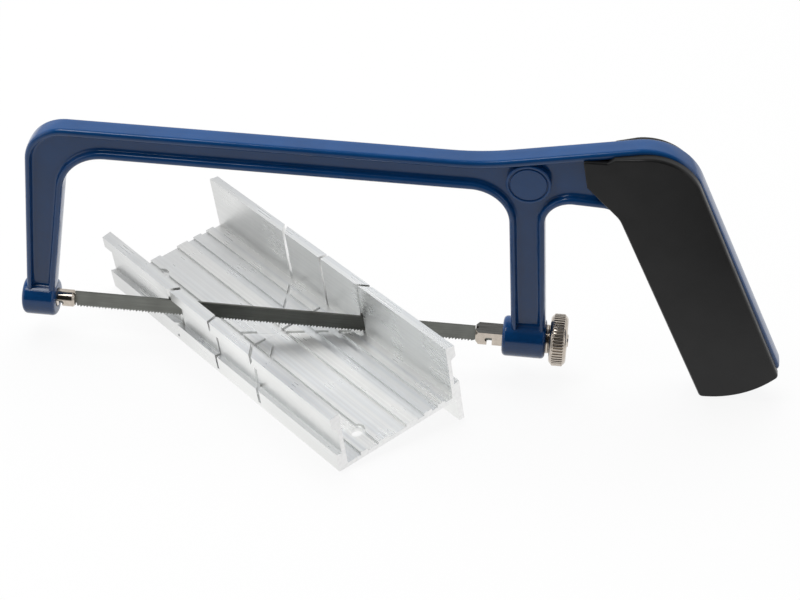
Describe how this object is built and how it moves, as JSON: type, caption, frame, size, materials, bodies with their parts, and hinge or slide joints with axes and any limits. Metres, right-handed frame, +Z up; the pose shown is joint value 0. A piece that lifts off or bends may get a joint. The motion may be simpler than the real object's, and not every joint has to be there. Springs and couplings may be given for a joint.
{
  "type": "mitre box with saw",
  "caption": "Junior hacksaw with a blue cast frame and black grips, standing with its blade in a guide slot of a small aluminium mitre box.",
  "frame": {"origin": "middle of the footprint of the standing part, on the floor", "axes": "+X along the blade towards the handle, +Z up, +Y to the side that the saw leans away from"},
  "size_m": [0.252, 0.1338, 0.0949],
  "materials": {
    "box_aluminium": "mill",
    "frame_blue": "gloss",
    "grip_black": "satin",
    "plated_steel": "bright",
    "blade_steel": "satin"
  },
  "bodies": {
    "box": {"mitre_box": "box_aluminium"},
    "saw": {"saw_frame": "frame_blue", "left_grip": "grip_black", "right_grip": "grip_black", "front_blade_holder": "plated_steel", "nut_washer": "plated_steel", "saw_blade": "blade_steel", "front_blade_pin": "blade_steel", "rear_blade_pin": "blade_steel"},
    "nut": {"tension_nut": "plated_steel"},
    "rear_holder": {"rear_blade_holder": "plated_steel"}
  },
  "joints": [
    {"name": "saw_stroke", "type": "slide", "parent": "box", "child": "saw", "axis": [1, 0, 0], "range_m": [-0.028, 0.028]},
    {"name": "tension_turn", "type": "hinge", "parent": "saw", "child": "nut", "pos_m": [0.0509, -0.00009, 0.01422], "axis": [1, 0, 0], "range_deg": [0, 315]},
    {"name": "blade_release", "type": "slide", "parent": "saw", "child": "rear_holder", "axis": [1, 0, 0], "range_m": [-0.00071, 0]}
  ],
  "couplings": [
    {"joint": "blade_release", "follows": "tension_turn", "m_per_rad": -0.00012732}
  ]
}
